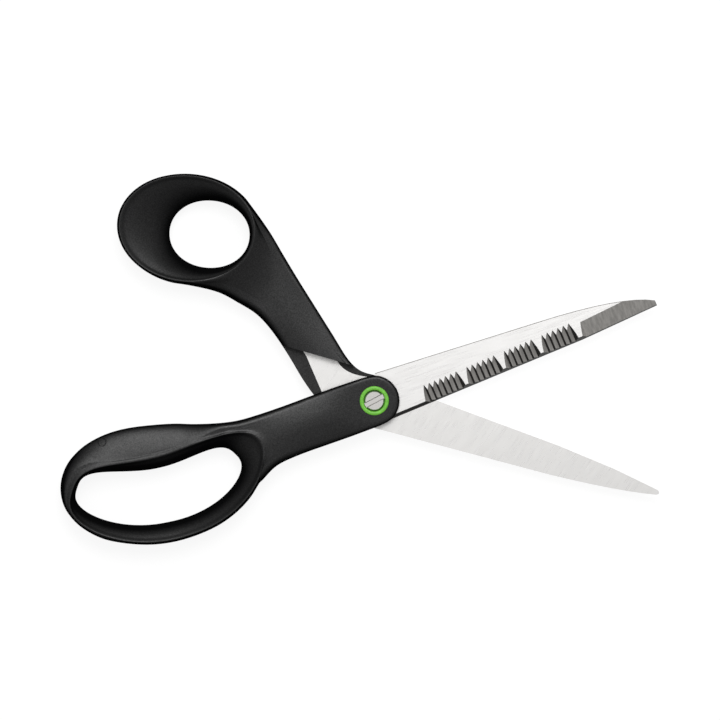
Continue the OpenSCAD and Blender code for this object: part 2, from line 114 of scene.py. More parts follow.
class FingerLoop(bpy.types.PropertyGroup):
    """Sizes of the long loop for the fingers."""
    reach: length("Reach", "Pivot to the near end of the hole", 54.9)
    hole: lengths("Hole", "Length and width of the hole", (59.2, 20.2))
    drop: length("Drop", "Middle of the hole under the pivot line", 7.8)
    flare: lengths("Flare", "Flare of the hole at the arm, heel, pad and strap", (9.4, 2, 4.1, 6.4))
    wall: lengths("Wall", "Rim to outline at the heel, pad and strap", (3.5, 12.2, 1.2))
    lip: lengths("Lip", "Height and width of the rim's lip", (0.35, 3.5))
    mark: lengths("Moulding mark", "Place of the round moulding mark on the pad", (-99.8, 18.0))
    mark_ring: lengths("Mark ring", "Radius of the mark and of its groove", (1.45, 0.18))


class ThumbLoop(bpy.types.PropertyGroup):
    """Sizes of the round loop for the thumb."""
    middle: lengths("Middle", "Middle of the hole behind and beside the pivot", (76.7, 39.6))
    hole: lengths("Hole", "Length and width of the hole", (28.7, 24.7))
    flare: lengths("Flare", "Flare of the hole at the arm, far side, outside and inside",
                   (1.8, 18.4, 8.3, 5.5))
    wall: lengths("Wall", "Rim to outline at the outside, far side and inside", (0.9, 1.2, 0.9))
    lip: lengths("Lip", "Height and width of the rim's lip", (2.4, 16))
    tilt: length("Tilt", "Tilt of the hole's narrowest line", 2)


class Finishes(bpy.types.PropertyGroup):
    """Colours of the materials."""
    plastic: colour("Black plastic", "Moulded handles", (0.0032, 0.0032, 0.0034))
    front_steel: colour("Front blade", "Satin face of the ridged blade", (0.80, 0.79, 0.78))
    rear_steel: colour("Rear blade", "Satin face of the plain blade", (0.79, 0.78, 0.767))
    ground_steel: colour("Ground steel", "Ground grooves and tip", (0.43, 0.416, 0.396))
    # painted shade: near-black steel for the ground faces that face towards -x or -y, in place of their
    # shade
    shaded_facet_steel: colour("Cutting edge", "Steep faces of the grooves and the edge", (0.02, 0.019, 0.018))
    pivot_steel: colour("Pivot steel", "Screw and sleeve nut", (0.54, 0.53, 0.515))
    spring_steel: colour("Spring steel", "Spring washer", (0.42, 0.41, 0.40))
    collar: colour("Collar", "Coloured ring round the screw", (0.172, 0.55, 0.052))


class Studio(bpy.types.PropertyGroup):
    """Camera, floor and light."""
    view_width: length("View width", "Width of the picture at the height of the shears", 265.38)
    distance: length("Distance", "Camera to the middle plane", 4000)
    roll: degrees("Roll", "Turn of the picture about the line of sight", -18.9)
    aim: lengths("Aim", "Point of the middle plane in the middle of the picture", (-0.125, 15.9))
    floor: colour("Floor", "Pale floor, added to its own white", (0.2, 0.2, 0.2))
    floor_size: length("Floor size", "Side of the floor", 30000)
    floor_gap: length("Floor gap", "Floor under the lowest face", 0.1)
    glow: amount("Glow", "White of the floor as seen and mirrored", 0.88)
    room_top: amount("Room overhead", "Light of the room overhead, added to its sides", 0.58)
    room_side: amount("Room sides", "Light of the room at the sides", 0.09)
    room_fall: amount("Room fall", "Power of the fall from overhead to the sides", 1.2)
    room_slant: amount("Room slant", "Factor of the light towards the picture's top edge", 1.8225)
    key_place: lengths("Key place", "Key light towards the picture's top edge and up", (550, 1180))
    key_size: length("Key size", "Side of the key light", 600)
    key_watts: amount("Key power", "Power of the key light in watts", 6.8)
    up: bpy.props.FloatVectorProperty(name="Up", description="Direction of the picture's top edge",
                                      size=3, default=(0.324, 0.946, 0.0), subtype="DIRECTION")


# shape of the handles: loops of points in millimetres

# flat left at the middle of a strap's outside
STRAP_FLAT = 0.6
# distances from the pivot between which the handles rise, and their arms gain and lose their crown
RISE = (16, 60)
CROWN_START = (8, 20)
CROWN_END = (30, 55)
# widest round top of a lip
WIDEST_CREST = 2.6
# steepness of the flare at the rim in degrees, away from the arm and at the arm
FINGER_RIM = (20, 70)
THUMB_RIM = (20, 6)
# points between neighbouring stations, and where the rows of points lie
STATION_STEPS = 4
FLARE_STEPS = (82, 73, 64, 55, 46, 37, 28, 19, 10)
BEAD_STEPS = (1.0, 0.8, 0.6, 0.4, 0.2, 0.0)
LIP_STEPS = (0.2, 0.4, 0.6, 0.8, 1.0)
FAN_STEPS = (0.2, 0.4, 0.6, 0.8)
FACE_STEPS = (0.0, 0.2, 0.4, 0.6, 0.8)
EDGE_STEPS = (0, 18, 36, 54, 70, 82)


def mix(a, b, t):
    return a + (b - a) * t


def ease(t):
    t = min(1.0, max(0.0, t))
    return t * t * (3 - 2 * t)


def power(value, exponent):
    return math.copysign(abs(value) ** exponent, value)


class Outline:
    """A rounded outline, bent along its length and with its own squareness at the far end."""

    def __init__(self, x, y, half_long, half_wide, slope, bow, square, far_square):
        self.x, self.y = x, y
        self.half_long, self.half_wide = half_long, half_wide
        self.slope, self.bow = slope, bow
        self.square, self.far_square = square, far_square

    def sag(self, x):
        return self.y + self.slope * (x - self.x) + self.bow * (x - self.x) ** 2

    def at(self, angle):
        c, s = math.cos(math.radians(angle)), math.sin(math.radians(angle))
        exponent = 2 / (self.square - self.far_square * c)
        x = self.x + self.half_long * power(c, exponent)
        across = Vector((-self.slope - 2 * self.bow * (x - self.x), 1)).normalized()
        return Vector((x, self.sag(x))) + self.half_wide * power(s, exponent) * across

    def grow(self, near, far, up, down, turn, bow_keep, square, far_square):
        x = self.x + (near - far) / 2
        slope = self.slope + 2 * self.bow * (x - self.x) + turn
        return Outline(x, self.sag(x) + (up - down) / 2, self.half_long + (near + far) / 2,
                       self.half_wide + (up + down) / 2, slope, self.bow * bow_keep, square, far_square)


def station(point, aim, inner, across, down):
    """A place on a handle's outline: point, rim direction, inner point and edge rounding."""
    return Vector((point[0], point[1], aim, inner[0], inner[1], across, down))


def between(x, table):
    """Straight-line value from a short table of (place, value)."""
    for (x0, v0), (x1, v1) in zip(table, table[1:]):
        if x <= x1:
            return mix(v0, v1, max(0.0, (x - x0) / (x1 - x0)))
    return table[-1][1]


def boss_station(radius, angle, aim, inner):
    a = math.radians(angle)
    return station((radius * math.cos(a), radius * math.sin(a)), aim, inner, 1.1, 1.1)


def outward(outline, angle):
    along = (outline.at(angle + 1) - outline.at(angle - 1)).normalized()
    return Vector((along.y, -along.x))


def pad_station(pad, rim, angle, rounding, deep):
    outer, inner = pad.at(angle), rim.at(angle)
    across = rounding * (outer - inner).dot(outward(pad, angle))
    return station(outer, angle, inner.lerp(outer, 0.6 * (1 - rounding)), across, deep)


def strap_station(rim, angle, wall, deep):
    here, out = rim.at(angle), outward(rim, angle)
    return station(here + wall * out, angle, here + 0.15 * wall * out, 0.75 * wall, deep)


def finger_loop(sizes, loop):
    """Hole, rim and stations of the finger handle."""
    half_arm = sizes.finger_arm / MM / 2
    deep = sizes.half_height / MM - STRAP_FLAT
    hole_l, hole_w = (v / MM for v in loop.hole)
    heel, pad_wall, strap_wall = (v / MM for v in loop.wall)
    hole = Outline(-loop.reach / MM - hole_l / 2, -loop.drop / MM, hole_l / 2, hole_w / 2,
                   slope=-0.118, bow=0.0106, square=2.9, far_square=0.1)
    rim = hole.grow(*(v / MM for v in loop.flare), turn=0, bow_keep=0.92, square=2.42, far_square=0.34)
    pad = rim.grow(-6.4, heel, pad_wall, strap_wall, turn=-0.11, bow_keep=0.25,
                   square=2.37, far_square=-0.24)

    def edge(back, y, aim, inner):
        down = [(0, 1.1), (34, 1.6), (53, 2.4)] if y > 0 else [(0, 1.1), (34, 2.6), (53, 4)]
        return station((-back, y), aim, inner, between(back, [(0, 1.1), (34, 2.2), (53, 2)]),
                       between(back, down))

    def side(back, y, aim):
        return edge(back, y, aim, rim.at(aim).lerp(Vector((-back, y)), 0.25))

    def pad_deep(a):
        return mix(3.2, deep, ease((a - 130) / 60))

    made = [boss_station(sizes.boss_radius / MM, a, -6 + a / 12, (0, a / 80))
            for a in range(-72, 73, 24)]
    made += [edge(8, half_arm - 0.1, 5, (-6, 1.5)), edge(20, half_arm - 0.2, 12, (-20, 3.2)),
             edge(32, half_arm - 0.5, 22, (-33, 5)), side(42, half_arm - 0.5, 34),
             side(50, half_arm - 0.1, 46), side(57, half_arm + 1.3, 56)]
    made += [pad_station(pad, rim, a, mix(0.85, 0.5, ease((a - 120) / 50)), pad_deep(a))
             for a in (66, 78, 91, 104, 117, 131, 145, 162, 180, 198, 215, 229, 242)]
    made += [strap_station(rim, a, strap_wall, deep) for a in (256, 268, 280, 292, 304, 315)]
    made += [side(48.5, -half_arm - 4.9, -35), side(42, -half_arm - 1.6, -26),
             edge(33, -half_arm - 0.5, -19, (-33, -4.6)), edge(20, -half_arm - 0.3, -16, (-20, -3.4)),
             edge(8, -half_arm - 0.1, -13.5, (-6, -1.8))]
    return hole, rim, made


def thumb_loop(sizes, loop):
    """Hole, rim and stations of the thumb handle, with the shears closed."""
    arm = sizes.thumb_arm / MM
    deep = sizes.half_height / MM - STRAP_FLAT
    hole_l, hole_w = (v / MM for v in loop.hole)
    hole = Outline(-loop.middle[0] / MM, loop.middle[1] / MM, hole_l / 2, hole_w / 2,
                   slope=0.24, bow=0, square=2.06, far_square=0)
    rim = hole.grow(*(v / MM for v in loop.flare), turn=-0.03, bow_keep=1, square=2.02, far_square=0)
    wall_up, wall_far, wall_down = (v / MM for v in loop.wall)
    walls = [(30, 1.4), (110, wall_up), (172, wall_far), (230, wall_down), (275, 1.45)]
    along = Vector((math.cos(sizes.thumb_turn), math.sin(sizes.thumb_turn)))
    side = Vector((along.y, -along.x))

    def edge(s, t, aim, inner_s, inner_t):
        if t < -arm / 2:
            across, down = [(0, 1.1), (34, 2.2), (60, 2.4)], [(0, 1.1), (34, 2.6), (60, 4.5)]
        else:
            across, down = [(0, 1.1), (60, 1.3)], [(0, 1.1), (60, 1.6)]
        return station(along * s + side * t, aim, along * inner_s + side * inner_t,
                       between(s, across), between(s, down))

    def boss(a):
        back = between(a, [(36, 0), (60, 1), (84, 4)])
        return boss_station(sizes.boss_radius / MM, a, -27 + a / 24,
                            along * back + side * between(a, [(-84, -0.9), (60, 0.6), (84, 0.25)]))

    made = [boss(a) for a in range(-84, 85, 24)]
    made += [edge(11.5, 1.8, -22, 12, -0.9), edge(17, -0.1, -20, 18, -1.9),
             edge(28, -0.3, -16, 30, -3.5), edge(40, -0.4, -10, 42, -4.4),
             edge(52, -0.5, -3, 54, -4.6), edge(63, -0.4, 6, 66, -3.7), edge(73, -0.2, 18, 75, -2.9)]
    made += [strap_station(rim, a, between(a, walls), deep)
             for a in (30, 43, 56, 69, 82, 95, 108, 122, 137,
                       153, 170, 187, 204, 220, 235, 249, 262, 275)]
    made += [edge(64, -arm - 9.7, -66, 68, -27.2), edge(57, -arm - 5.6, -54, 61, -21),
             edge(50, -arm - 2.1, -46, 53, -16.8), edge(42, -arm - 0.5, -40, 43, -13.4),
             edge(31, -arm, -36, 31, -10), edge(19, -arm - 0.1, -33.5, 18, -6.4),
             edge(11, -arm + 0.9, -32, 9, -3.8), edge(4, -arm + 5.2, -31, 3, -1.9)]
    return hole, rim, made


def turned(there, here):
    """A neighbour's station with its rim direction counted on past a full turn."""
    moved = there.copy()
    gap = there[2] - here[2]
    moved[2] -= 360 if gap > 180 else -360 if gap < -180 else 0
    return moved


def smooth_stations(stations, steps):
    """A smooth closed curve through the stations, with the given steps between neighbours."""
    made = []
    count = len(stations)
    for i, b in enumerate(stations):
        a, c, d = (turned(stations[(i + k) % count], b) for k in (-1, 1, 2))
        t1 = math.sqrt((b.xy - a.xy).length)
        t2 = t1 + math.sqrt((c.xy - b.xy).length)
        t3 = t2 + math.sqrt((d.xy - c.xy).length)
        for k in range(steps):
            t = mix(t1, t2, k / steps)
            share = (t - t1) / (t2 - t1)
            ab, bc, cd = mix(a, b, t / t1), mix(b, c, share), mix(c, d, (t - t2) / (t3 - t2))
            made.append(mix(mix(ab, bc, t / t2), mix(bc, cd, (t - t1) / (t3 - t1)), share))
    return made


def handle_rows(sizes, hole, rim, rim_angles, lip_size, across_arm, stations, tilt, mid):
    """Rings of points from the hole's narrowest line over one face to the outline, and back."""
    half, boss, crown = (v / MM for v in (sizes.half_height, sizes.boss_height, sizes.arm_crown))
    bead_height, bead_width = (v / MM for v in sizes.bead)
    lip_height, lip_width = (v / MM for v in lip_size)
    crest = min(lip_width / 2, WIDEST_CREST)
    count = len(stations)
    out = [Vector(s.xy) for s in stations]
    normals = []
    for i in range(count):
        along = (out[(i + 1) % count] - out[i - 1]).normalized()
        normals.append(Vector((along.y, -along.x)))
    rims = [rim.at(s[2]) for s in stations]
    holes = [hole.at(s[2]) for s in stations]
    inner = [Vector((s[3], s[4])) for s in stations]
    edges = [p - n * s[5] for p, n, s in zip(out, normals, stations)]

    def ramp(p, start, end):
        return ease((p.length - start) / (end - start))

    def ridge(p):
        return mix(boss, half, ramp(p, *RISE))

    def height(i, p):
        beside = mix(boss, half - lip_height, ramp(p, *RISE))
        gone = (p - rims[i]).length
        fall = ease(gone / crest) * (1 - (1 - min(1, gone / lip_width)) ** 2)
        arm = crown * ramp(p, *CROWN_START) * (1 - ramp(p, *CROWN_END))
        return mix(ridge(p), beside, fall) - arm * min(1.2, across_arm(p)) ** 2

    def bead_end(i):
        return min(bead_width / (holes[i] - rims[i]).length, 0.3)

    def down_hole(i, share, gone, sign):
        start = math.radians(mix(*rim_angles, max(0.0, math.cos(math.radians(stations[i][2])))))
        s = mix(math.sin(start), 1, share)
        z = ridge(rims[i]) * math.sqrt(1 - s * s) / math.cos(start)
        z -= bead_height * ease(gone) * (1 - share)
        lean = share * tilt * math.cos(math.radians(stations[i][2]))
        return rims[i].lerp(holes[i], share), sign * z + lean

    def flare(i, angle, sign):
        return down_hole(i, mix(bead_end(i), 1, math.sin(math.radians(angle))), 1, sign)

    def bead(i, gone, sign):
        return down_hole(i, bead_end(i) * gone, gone, sign)

    def lip(i, share, sign):
        reach = (inner[i] - rims[i]).length
        p = rims[i].lerp(inner[i], min(share * lip_width, 0.9 * share * reach) / reach)
        return p, sign * height(i, p)

    def fan(i, share, sign):
        reach = (inner[i] - rims[i]).length
        p = rims[i].lerp(inner[i], mix(min(lip_width / reach, 0.9), 1, share))
        return p, sign * height(i, p)

    def face(i, share, sign):
        p = inner[i].lerp(edges[i], share)
        return p, sign * height(i, p)

    def edge(i, angle, sign):
        a = math.radians(angle)
        top = height(i, edges[i])
        across, down = stations[i][5], min(stations[i][6], top - 0.3)
        share = math.sin(a)
        # a wide edge falls like a roof with round eaves, a narrow one like a quarter of an ellipse
        roof = 0.6 * share ** 1.3 + 0.4 * (1 - math.sqrt(1 - share ** 6))
        fall = mix(1 - math.cos(a), roof, ease((across - 4) / 3))
        return out[i] - normals[i] * across * (1 - share), sign * (top - down * fall)

    half_rows = [(flare, v) for v in FLARE_STEPS] + [(bead, v) for v in BEAD_STEPS]
    half_rows += [(lip, v) for v in LIP_STEPS]
    half_rows += [(fan, v) for v in FAN_STEPS] + [(face, v) for v in FACE_STEPS]
    half_rows += [(edge, v) for v in EDGE_STEPS]
    rows = [[flare(i, 90, 0) for i in range(count)]]
    rows += [[make(i, v, 1) for i in range(count)] for make, v in half_rows]
    rows += [[(p, 0.0) for p in out]]
    rows += [[make(i, v, -1) for i in range(count)] for make, v in reversed(half_rows)]
    return [[Vector((p.x, p.y, mid + z)) * MM for p, z in row] for row in rows]


# modelling helpers


def deselect():
    if bpy.context.object and bpy.context.object.mode != "OBJECT":
        bpy.ops.object.mode_set(mode="OBJECT")
    bpy.ops.object.select_all(action="DESELECT")


def pick(piece):
    deselect()
    piece.select_set(True)
    bpy.context.view_layer.objects.active = piece


def settle(name):
    """Names the piece just added and puts its place into its mesh."""
    piece = bpy.context.object
    piece.name = name
    piece.data.name = name
    bpy.ops.object.transform_apply(location=True, rotation=True, scale=True)
    return piece


def apply_modifier(piece, kind, **settings):
    pick(piece)
    modifier = piece.modifiers.new(kind.lower(), kind)
    for key, value in settings.items():
        setattr(modifier, key, value)
    bpy.ops.object.modifier_apply(modifier=modifier.name)


def clean(piece, merge):
    pick(piece)
    bpy.ops.object.mode_set(mode="EDIT")
    bpy.ops.mesh.select_all(action="SELECT")
    bpy.ops.mesh.remove_doubles(threshold=merge)
    bpy.ops.mesh.dissolve_degenerate(threshold=merge)
    bpy.ops.mesh.normals_make_consistent(inside=False)
    bpy.ops.object.mode_set(mode="OBJECT")


def cut(piece, cutter):
    apply_modifier(piece, "BOOLEAN", operation="DIFFERENCE", solver="MANIFOLD", object=cutter)
    bpy.data.objects.remove(cutter, do_unlink=True)


def block(low, high, turn):
    """A block from its two corners in millimetres, turned about the pivot."""
    low, high = Vector(low) * MM, Vector(high) * MM
    deselect()
    bpy.ops.mesh.primitive_cube_add(size=1, location=(low + high) / 2, scale=high - low)
    cutter = settle("block")
    cutter.rotation_euler = (0, 0, turn)
    bpy.ops.object.transform_apply(location=False, rotation=True, scale=False)
    return cutter


def bore(radius):
    """A round cutter through everything at the pivot."""
    deselect()
    bpy.ops.mesh.primitive_cylinder_add(vertices=96, radius=radius, depth=ABOVE_ALL,
                                        location=(0, 0, ABOVE_ALL / 4))
    return settle("bore")


def steel_core(node):
    """A merged copy of a blade, to cut its pocket."""
    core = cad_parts[node].copy()
    core.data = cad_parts[node].data.copy()
    core.parent = None
    bpy.context.scene.collection.objects.link(core)
    clean(core, 1e-6)
    return core


def loop_piece(name, rows, turn):
    """A ring with one segment for each station, drawn out to the handle's rows."""
    segments, sides = len(rows[0]), len(rows)
    deselect()
    bpy.ops.mesh.primitive_torus_add(major_segments=segments, minor_segments=sides,
                                     major_radius=0.03, minor_radius=0.007)
    piece = settle(name)
    turned_by = Matrix.Rotation(turn, 3, "Z")
    for vertex in piece.data.vertices:
        vertex.co = turned_by @ rows[vertex.index % sides][vertex.index // sides]
    clean(piece, 1e-7)
    apply_modifier(piece, "SUBSURF", levels=1, render_levels=1)
    return piece


def finish_piece(piece):
    """Merges the cuts' stray points and shades the piece without the normals the cuts left."""
    clean(piece, 2e-6)
    bpy.ops.mesh.customdata_custom_splitnormals_clear()
    bpy.ops.object.shade_smooth_by_angle(angle=math.radians(SMOOTH_ANGLE))


# node helpers


def add_node(tree, kind, inputs=None, **settings):
    made = tree.nodes.new(kind)
    for key, value in settings.items():
        setattr(made, key, value)
    for key, value in (inputs or {}).items():
        if isinstance(value, bpy.types.NodeSocket):
            tree.links.new(value, made.inputs[key])
        else:
            made.inputs[key].default_value = value
    return made


def math_node(tree, operation, *values):
    return add_node(tree, "ShaderNodeMath", dict(enumerate(values)), operation=operation).outputs[0]


def remap(tree, value, low, high, to_low=0.0, to_high=1.0):
    return add_node(tree, "ShaderNodeMapRange", {"Value": value, "From Min": low, "From Max": high,
                                                 "To Min": to_low, "To Max": to_high}).outputs[0]


def blend_colour(tree, share, first, second):
    made = add_node(tree, "ShaderNodeMix", {0: share, 6: first, 7: second}, data_type="RGBA")
    return made.outputs[2]


def blend_value(tree, share, first, second):
    made = add_node(tree, "ShaderNodeMix", {0: share, 2: first, 3: second}, data_type="FLOAT")
    return made.outputs[0]


def rgba(values, factor=1.0, offset=0.0):
    """A colour with its values made stronger or weaker, no brighter than white."""
    return (*(min(1.0, v * factor + offset) for v in values), 1.0)


def new_group(name, inputs, outputs):
    tree = bpy.data.node_groups.new(name, "ShaderNodeTree")
    for socket, kind in inputs:
        tree.interface.new_socket(socket, in_out="INPUT", socket_type=kind)
    for socket, kind in outputs:
        tree.interface.new_socket(socket, in_out="OUTPUT", socket_type=kind)
    return tree, tree.nodes.new("NodeGroupInput"), tree.nodes.new("NodeGroupOutput")


def speckle_group():
    """Fine moulded or blasted grain: a height for bump and a slow shade."""
    name = "fine speckle"
    if name in bpy.data.node_groups:
        return bpy.data.node_groups[name]
    number = "NodeSocketFloat"
    tree, start, end = new_group(name, [("Vector", "NodeSocketVector"), ("Fineness", number)],
                                 [("Height", number), ("Shade", number)])
    grain = add_node(tree, "ShaderNodeTexNoise", {"Vector": start.outputs["Vector"],
                                                  "Scale": start.outputs["Fineness"],
                                                  "Detail": 3.0, "Roughness": 0.65})
    slow = add_node(tree, "ShaderNodeTexNoise", {"Vector": start.outputs["Vector"],
                                                 "Scale": 90.0, "Detail": 2.0})
    tree.links.new(grain.outputs[0], end.inputs["Height"])
    tree.links.new(remap(tree, slow.outputs[0], 0.35, 0.65), end.inputs["Shade"])
    return tree


def lines_group():
    """Grinding lines: long thin streaks across a turned direction."""
    name = "grinding lines"
    if name in bpy.data.node_groups:
        return bpy.data.node_groups[name]
    number = "NodeSocketFloat"
    tree, start, end = new_group(name, [("Vector", "NodeSocketVector"), ("Turn", "NodeSocketVector"),
                                        ("Fineness", number)], [("Lines", number), ("Bands", number)])
    turned_to = add_node(tree, "ShaderNodeMapping", {"Vector": start.outputs["Vector"],
                                                     "Rotation": start.outputs["Turn"]})
    drawn = add_node(tree, "ShaderNodeMapping", {"Vector": turned_to.outputs[0],
                                                 "Scale": (0.035, 1.0, 1.0)})
    fine = add_node(tree, "ShaderNodeTexNoise", {"Vector": drawn.outputs[0],
                                                 "Scale": start.outputs["Fineness"],
                                                 "Detail": 4.0, "Roughness": 0.7})
    slow = add_node(tree, "ShaderNodeTexNoise", {"Vector": drawn.outputs[0],
                                                 "Scale": 260.0, "Detail": 2.0})
    tree.links.new(remap(tree, fine.outputs[0], 0.3, 0.7), end.inputs["Lines"])
    tree.links.new(remap(tree, slow.outputs[0], 0.35, 0.65), end.inputs["Bands"])
    return tree


def use_group(tree, group, inputs):
    return add_node(tree, "ShaderNodeGroup", inputs, node_tree=group)


def new_material(name, **constants):
    """A material with its shader, output and object coordinates."""
    material = bpy.data.materials.new(name)
    material.use_nodes = True
    tree = material.node_tree
    tree.nodes.clear()
    shader = add_node(tree, "ShaderNodeBsdfPrincipled", constants)
    add_node(tree, "ShaderNodeOutputMaterial", {"Surface": shader.outputs[0]})
    coords = add_node(tree, "ShaderNodeTexCoord")
    return material, tree, shader, coords


def put_on(piece, material):
    piece.data.materials.clear()
    piece.data.materials.append(material)


def bump(tree, shader, height, strength, distance):
    made = add_node(tree, "ShaderNodeBump", {"Height": height, "Strength": strength,
                                             "Distance": distance})
    tree.links.new(made.outputs[0], shader.inputs["Normal"])


def plastic_material(name, colour_values, fineness, grain, roughness):
    """Moulded plastic: a fine grain in the gloss of its faces, and dull steep walls."""
    constants = {"Specular IOR Level": 0.0, "Coat Roughness": roughness, "Coat IOR": 1.5}
    material, tree, shader, coords = new_material(name, **constants)
    speckle = use_group(tree, speckle_group(), {"Vector": coords.outputs["Object"],
                                                "Fineness": fineness})
    base = blend_colour(tree, remap(tree, speckle.outputs["Height"], 0.42, 0.68),
                        rgba(colour_values), rgba(colour_values, 1.35, 0.001))
    pointed = add_node(tree, "ShaderNodeNewGeometry").outputs["Pointiness"]
    rub = remap(tree, pointed, 0.52, 0.6, 0.0, 0.35)
    base = blend_colour(tree, rub, base, rgba(colour_values, 1.8, 0.002))
    tree.links.new(base, shader.inputs["Base Color"])
    dull = remap(tree, speckle.outputs["Shade"], 0.0, 1.0, 0.52, 0.6)
    tree.links.new(dull, shader.inputs["Roughness"])
    facing = add_node(tree, "ShaderNodeSeparateXYZ", {0: coords.outputs["Normal"]})
    level = remap(tree, math_node(tree, "ABSOLUTE", facing.outputs[2]), 0.66, 0.92)
    sparkle = remap(tree, speckle.outputs["Height"], 0.35, 0.65, 1 - grain, 1.0)
    tree.links.new(math_node(tree, "MULTIPLY", level, sparkle), shader.inputs["Coat Weight"])
    bump(tree, shader, speckle.outputs["Height"], grain, 0.05 * MM)
    return material


def ground_faces(tree, coords, finishes, below):
    """Where the upward faces under a height are, and their colour, with painted shade: near black where
    they face towards -x or -y.
    """
    place = add_node(tree, "ShaderNodeSeparateXYZ", {0: coords.outputs["Object"]})
    facing = add_node(tree, "ShaderNodeSeparateXYZ", {0: coords.outputs["Normal"]})
    low = math_node(tree, "LESS_THAN", place.outputs[2], below)
    upward = math_node(tree, "GREATER_THAN", facing.outputs[2], 0.1)
    # painted shade: ground faces that face towards -x or -y take the near-black steel
    steep = math_node(tree, "MAXIMUM", math_node(tree, "LESS_THAN", facing.outputs[0], -0.2),
                      math_node(tree, "LESS_THAN", facing.outputs[1], -0.6))
    across = use_group(tree, lines_group(), {"Vector": coords.outputs["Object"],
                                             "Turn": (0, 0, math.radians(90)), "Fineness": 900.0})
    strokes = blend_colour(tree, remap(tree, across.outputs["Lines"], 0.2, 0.8),
                           rgba(finishes.ground_steel), rgba(finishes.ground_steel, 0.7))
    return (math_node(tree, "MULTIPLY", low, upward),
            blend_colour(tree, steep, strokes, rgba(finishes.shaded_facet_steel)))


def blade_material(name, colour_values, turn, streaks, finishes, ground_below):
    """Blade steel: satin faces with fine grinding lines, and ground faces below the outer face."""
    material, tree, shader, coords = new_material(name, Metallic=1.0)
    lines = use_group(tree, lines_group(), {"Vector": coords.outputs["Object"], "Turn": (0, 0, turn),
                                            "Fineness": 2600.0})
    base = blend_colour(tree, remap(tree, lines.outputs["Lines"], 0, 1, 0, streaks),
                        rgba(colour_values), rgba(colour_values, 0.9))
    base = blend_colour(tree, remap(tree, lines.outputs["Bands"], 0, 1, 0, streaks),
                        base, rgba(colour_values, 0.94))
    rough = remap(tree, lines.outputs["Lines"], 0, 1, BLADE_ROUGHNESS - 0.05, BLADE_ROUGHNESS + 0.07)
    if ground_below is not None:
        # ground faces, with painted shade on those that face towards -x or -y
        ground, ground_colour = ground_faces(tree, coords, finishes, ground_below)
        base = blend_colour(tree, ground, base, ground_colour)
        rough = blend_value(tree, ground, rough, 0.45)
        tree.links.new(blend_value(tree, ground, 1.0, 0.4), shader.inputs["Metallic"])
    tree.links.new(base, shader.inputs["Base Color"])
    tree.links.new(rough, shader.inputs["Roughness"])
    bump(tree, shader, lines.outputs["Lines"], 0.06, 0.02 * MM)
    return material


def turned_material(name, colour_values, roughness):
    """Turned steel: rings about the pivot axis."""
    material, tree, shader, coords = new_material(name, Metallic=1.0)
    rings = add_node(tree, "ShaderNodeTexWave", {"Vector": coords.outputs["Object"], "Scale": 900.0,
                                                 "Distortion": 1.5, "Detail": 2.0, "Detail Scale": 2.0},
                     wave_type="RINGS", rings_direction="Z")
    speckle = use_group(tree, speckle_group(), {"Vector": coords.outputs["Object"], "Fineness": 1500.0})
    base = blend_colour(tree, remap(tree, rings.outputs[1], 0, 1, 0, 0.6),
                        rgba(colour_values), rgba(colour_values, 0.88))
    base = blend_colour(tree, remap(tree, speckle.outputs["Height"], 0.5, 0.75, 0, 0.4),
                        base, rgba(colour_values, 0.75))
    tree.links.new(base, shader.inputs["Base Color"])
    tree.links.new(remap(tree, speckle.outputs["Height"], 0, 1, roughness - 0.06, roughness + 0.1),
                   shader.inputs["Roughness"])
    bump(tree, shader, rings.outputs[1], 0.05, 0.02 * MM)
    return material


# operators


def middle_height():
    """Height of the middle plane between the blades, in millimetres."""
    return (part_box("front_blade")[0].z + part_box("rear_blade")[1].z) / 2 / MM


class SHEARS_OT_finger_handle(bpy.types.Operator):
    """Models the finger handle with its loop, step, pocket, bore and moulding mark"""
    bl_idname = "shears.finger_handle"
    bl_label = "Finger handle"

    def execute(self, context):
        scene = context.scene
        sizes, loop = scene.shears_handle, scene.shears_finger
        mid = middle_height()
        hole, rim, stations = finger_loop(sizes, loop)

        def across_arm(p):
            return abs(p.y + 0.2) / (sizes.finger_arm / MM / 2)

        rows = handle_rows(sizes, hole, rim, FINGER_RIM, loop.lip, across_arm,
                           smooth_stations(stations, STATION_STEPS), 0.0, mid)
        piece = loop_piece("finger_grip", rows, 0.0)
        # clears the way of the thumb arm, up to the step that it closes against
        back = (sizes.thumb_arm + sizes.step_gap) / MM
        cut(piece, block((-60, -60, -1), (100, back, mid + sizes.relief / MM), sizes.thumb_turn))
        cut(piece, steel_core("front_blade"))
        cut(piece, bore(sizes.collar_bore))
        self.mark(piece, loop)
        finish_piece(piece)
        put_on(piece, plastic_material("black moulded plastic", scene.shears_finish.plastic,
                                       *HANDLE_FINISH))
        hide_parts("finger_handle")
        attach(piece, FINGER_BODY)
        return {"FINISHED"}

    def mark(self, piece, loop):
        """Presses a small round moulding mark into the pad."""
        deselect()
        radius, groove = loop.mark_ring
        bpy.ops.mesh.primitive_torus_add(major_segments=48, minor_segments=8, major_radius=radius,
                                         minor_radius=groove, location=(loop.mark[0], loop.mark[1], 0))
        ring = settle("mark")
        middle = Vector(loop.mark)
        for vertex in ring.data.vertices:
            spot = middle + (vertex.co.xy - middle).normalized() * radius
            found, place, _, _ = piece.ray_cast(Vector((spot.x, spot.y, ABOVE_ALL)), Vector((0, 0, -1)))
            if not found:
                raise RuntimeError("the moulding mark misses the pad")
            vertex.co.z += place.z
        cut(piece, ring)


